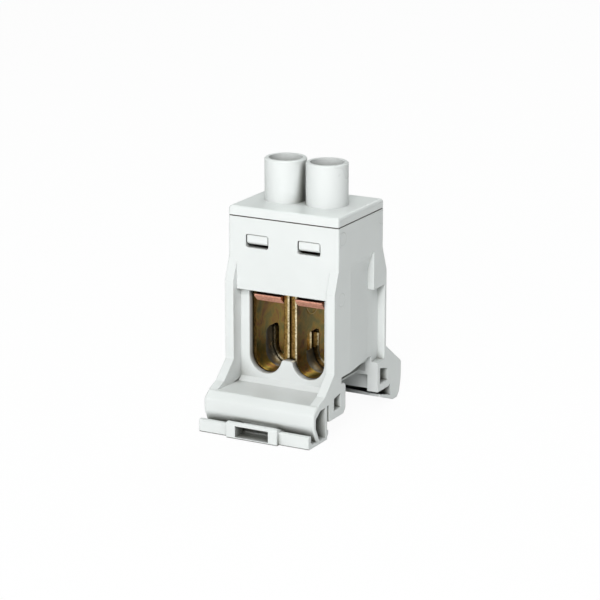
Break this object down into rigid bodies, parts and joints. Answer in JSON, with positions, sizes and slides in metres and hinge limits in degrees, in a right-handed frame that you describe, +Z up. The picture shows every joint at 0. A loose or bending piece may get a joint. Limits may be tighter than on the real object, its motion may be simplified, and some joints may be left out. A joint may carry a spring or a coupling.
{
  "type": "main branch terminal block",
  "caption": "Tall pale-grey rail-mounted branch terminal: clip-on foot, twin clamp cages on a copper bar, upright screw tubes, lower pull bar.",
  "frame": {"origin": "middle of the footprint's bounding box, on the plane under the feet", "axes": "+X along the rail, +Y along the conductors from the pull bar to the fixed hook, +Z up along the screws"},
  "size_m": [0.0312, 0.0524, 0.0662],
  "materials": {
    "housing_plastic": "satin moulded, light grey",
    "cover_plastic": "satin moulded, light grey",
    "copper": "bare rolled copper",
    "passivated_steel": "yellow passivated zinc",
    "screw_steel": "zinc plated"
  },
  "bodies": {
    "terminal": {"housing": "housing_plastic", "cover": "cover_plastic", "contact_bar": "copper"},
    "cage_left": {"clamp_cage_left": "passivated_steel"},
    "cage_right": {"clamp_cage_right": "passivated_steel"},
    "screw_left": {"clamp_screw_left": "screw_steel"},
    "screw_right": {"clamp_screw_right": "screw_steel"}
  },
  "joints": [
    {"name": "screw_left_turn", "type": "hinge", "parent": "terminal", "child": "screw_left", "pos_m": [-0.0059, 0.0028, 0.045], "axis": [0, 0, -1], "range_deg": [0, 5040]},
    {"name": "screw_right_turn", "type": "hinge", "parent": "terminal", "child": "screw_right", "pos_m": [0.0059, 0.0028, 0.045], "axis": [0, 0, -1], "range_deg": [0, 5040]},
    {"name": "cage_left_lift", "type": "slide", "parent": "terminal", "child": "cage_left", "axis": [0, 0, 1], "range_m": [0, 0.014]},
    {"name": "cage_right_lift", "type": "slide", "parent": "terminal", "child": "cage_right", "axis": [0, 0, 1], "range_m": [0, 0.014]}
  ],
  "couplings": [
    {"joint": "screw_left_turn", "follows": "cage_left_lift", "rad_per_m": 6283.2},
    {"joint": "screw_right_turn", "follows": "cage_right_lift", "rad_per_m": 6283.2}
  ]
}
